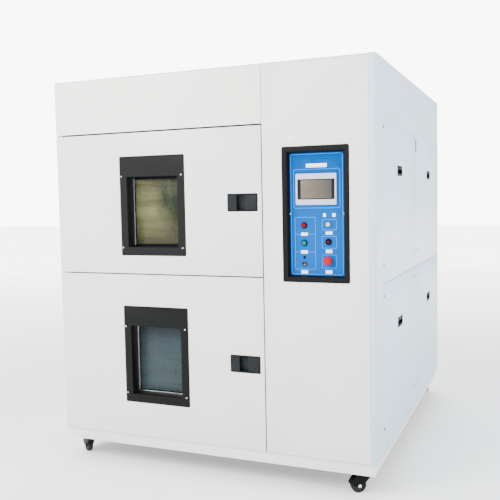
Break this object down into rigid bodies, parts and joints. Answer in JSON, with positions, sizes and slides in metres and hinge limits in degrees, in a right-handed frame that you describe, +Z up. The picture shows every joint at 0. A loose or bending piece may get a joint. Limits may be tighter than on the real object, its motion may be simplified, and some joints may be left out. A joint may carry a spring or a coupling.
{
  "type": "environmental test chamber",
  "caption": "Floor-standing environmental test chamber with a hot zone over a cold zone, windowed doors with flush latches, a basket lift and a recessed control panel.",
  "frame": {"origin": "on the floor under the centre of the whole machine", "axes": "+Z up; -Y is the front with the doors and controls; +X is to the right of someone facing the front"},
  "size_m": [1.738, 2.046, 2.047],
  "materials": {
    "cabinet_white": "smooth semi-gloss powder coat",
    "frame_black": "satin black powder coat",
    "stainless": "brushed stainless sheet",
    "zinc_steel": "zinc plated steel",
    "machined_steel": "polished",
    "fan_aluminium": "satin",
    "plate_aluminium": "satin",
    "latch_black": "fine-grained moulding",
    "black_plastic": "fine-grained moulding",
    "castor_black": "moulded",
    "tyre_black": "matt",
    "seal_rubber": "silicone, matt",
    "glass": "clear, lightly coated",
    "panel_blue": "printed film on sheet",
    "hmi_grey": "fine-grained moulding",
    "screen_glass": "polished screen",
    "red_lens": "translucent lens",
    "green_lens": "translucent lens",
    "stop_red": "moulded",
    "insulation": "mineral wool and foam",
    "motor_grey": "painted casting",
    "compressor_black": "painted shell"
  },
  "bodies": {
    "cabinet": {"air_coils": "stainless", "air_guides": "stainless", "base_frame": "frame_black", "castor_plates": "castor_black", "cold_zone_liner": "stainless", "compressors": "compressor_black", "condenser": "motor_grey", "control_column": "cabinet_white", "control_frame": "frame_black", "control_plate": "panel_blue", "fan_motors": "motor_grey", "front_jamb": "stainless", "header_panel": "cabinet_white", "hinge_brackets": "zinc_steel", "hmi_bezel": "hmi_grey", "hmi_screen": "screen_glass", "hot_zone_liner": "stainless", "left_access_panels": "cabinet_white", "left_side_frame": "cabinet_white", "lift_tubes": "machined_steel", "panel_fittings": "black_plastic", "plinth": "cabinet_white", "rear_frame": "cabinet_white", "rear_panels": "cabinet_white", "right_access_panels": "cabinet_white", "right_side_frame": "cabinet_white", "side_pulls": "black_plastic", "supply_gland": "black_plastic", "top_cover": "cabinet_white", "zone_insulation": "insulation"},
    "upper_door": {"upper_door_skin": "cabinet_white", "upper_door_inner": "stainless", "upper_door_gasket": "seal_rubber", "upper_window_frame": "frame_black", "upper_window_glass": "glass", "upper_latch_housing": "latch_black"},
    "lower_door": {"lower_door_skin": "cabinet_white", "lower_door_inner": "stainless", "lower_door_gasket": "seal_rubber", "lower_window_frame": "frame_black", "lower_window_glass": "glass", "lower_latch_housing": "latch_black"},
    "upper_latch": {"upper_latch_paddle": "latch_black"},
    "lower_latch": {"lower_latch_paddle": "latch_black"},
    "basket": {"basket_plates": "plate_aluminium", "basket_cage": "stainless"},
    "hot_fan_wheel": {"hot_fan": "fan_aluminium"},
    "cold_fan_wheel": {"cold_fan": "fan_aluminium"},
    "emergency_stop": {"estop_button": "stop_red"},
    "key": {"key_barrel": "machined_steel"},
    "red_push": {"red_button": "red_lens"},
    "green_push": {"green_button": "green_lens"},
    "front_left_castor": {"castor_fork_front_left": "castor_black"},
    "front_left_wheel": {"castor_wheel_front_left": "tyre_black"},
    "front_right_castor": {"castor_fork_front_right": "castor_black"},
    "front_right_wheel": {"castor_wheel_front_right": "tyre_black"},
    "rear_left_castor": {"castor_fork_rear_left": "castor_black"},
    "rear_left_wheel": {"castor_wheel_rear_left": "tyre_black"},
    "rear_right_castor": {"castor_fork_rear_right": "castor_black"},
    "rear_right_wheel": {"castor_wheel_rear_right": "tyre_black"}
  },
  "joints": [
    {"name": "upper_door_swing", "type": "hinge", "parent": "cabinet", "child": "upper_door", "pos_m": [-0.8525, -0.998, 1.392], "axis": [0, 0, -1], "range_deg": [0, 110]},
    {"name": "lower_door_swing", "type": "hinge", "parent": "cabinet", "child": "lower_door", "pos_m": [-0.8525, -0.998, 0.5985], "axis": [0, 0, -1], "range_deg": [0, 110]},
    {"name": "upper_latch_pull", "type": "hinge", "parent": "upper_door", "child": "upper_latch", "pos_m": [0.2855, -1.011, 1.3905], "axis": [0, 0, 1], "range_deg": [0, 40], "stiffness_Nm_per_rad": 0.4},
    {"name": "lower_latch_pull", "type": "hinge", "parent": "lower_door", "child": "lower_latch", "pos_m": [0.2855, -1.011, 0.5965], "axis": [0, 0, 1], "range_deg": [0, 40], "stiffness_Nm_per_rad": 0.4},
    {"name": "basket_lift", "type": "slide", "parent": "cabinet", "child": "basket", "axis": [0, 0, 1], "range_m": [0, 0.5]},
    {"name": "hot_fan_spin", "type": "hinge", "parent": "cabinet", "child": "hot_fan_wheel", "pos_m": [-0.286, -0.329, 1.383], "axis": [0, 1, 0], "continuous": true},
    {"name": "cold_fan_spin", "type": "hinge", "parent": "cabinet", "child": "cold_fan_wheel", "pos_m": [-0.286, -0.329, 0.628], "axis": [0, 1, 0], "continuous": true},
    {"name": "emergency_stop_push", "type": "slide", "parent": "cabinet", "child": "emergency_stop", "axis": [0, 1, 0], "range_m": [0, 0.006]},
    {"name": "key_turn", "type": "hinge", "parent": "cabinet", "child": "key", "pos_m": [0.6385, -0.991, 1.282], "axis": [0, 1, 0], "range_deg": [0, 90]},
    {"name": "red_button_push", "type": "slide", "parent": "cabinet", "child": "red_push", "axis": [0, 1, 0], "range_m": [0, 0.003], "stiffness_N_per_m": 600},
    {"name": "green_button_push", "type": "slide", "parent": "cabinet", "child": "green_push", "axis": [0, 1, 0], "range_m": [0, 0.003], "stiffness_N_per_m": 600},
    {"name": "front_left_swivel", "type": "hinge", "parent": "cabinet", "child": "front_left_castor", "pos_m": [-0.7835, -0.921, 0.0965], "axis": [0, 0, 1], "continuous": true},
    {"name": "front_left_roll", "type": "hinge", "parent": "front_left_castor", "child": "front_left_wheel", "pos_m": [-0.80906, -0.90174, 0.0375], "axis": [-0.6018, -0.7986, 0], "continuous": true},
    {"name": "front_right_swivel", "type": "hinge", "parent": "cabinet", "child": "front_right_castor", "pos_m": [0.7835, -0.921, 0.0965], "axis": [0, 0, 1], "continuous": true},
    {"name": "front_right_roll", "type": "hinge", "parent": "front_right_castor", "child": "front_right_wheel", "pos_m": [0.75729, -0.93935, 0.0375], "axis": [0.5736, -0.8192, 0], "continuous": true},
    {"name": "rear_left_swivel", "type": "hinge", "parent": "cabinet", "child": "rear_left_castor", "pos_m": [-0.7835, 0.905, 0.0965], "axis": [0, 0, 1], "continuous": true},
    {"name": "rear_left_roll", "type": "hinge", "parent": "rear_left_castor", "child": "rear_left_wheel", "pos_m": [-0.79444, 0.93507, 0.0375], "axis": [-0.9397, -0.342, 0], "continuous": true},
    {"name": "rear_right_swivel", "type": "hinge", "parent": "cabinet", "child": "rear_right_castor", "pos_m": [0.7835, 0.905, 0.0965], "axis": [0, 0, 1], "continuous": true},
    {"name": "rear_right_roll", "type": "hinge", "parent": "rear_right_castor", "child": "rear_right_wheel", "pos_m": [0.78906, 0.93651, 0.0375], "axis": [-0.9848, 0.1736, 0], "continuous": true}
  ]
}
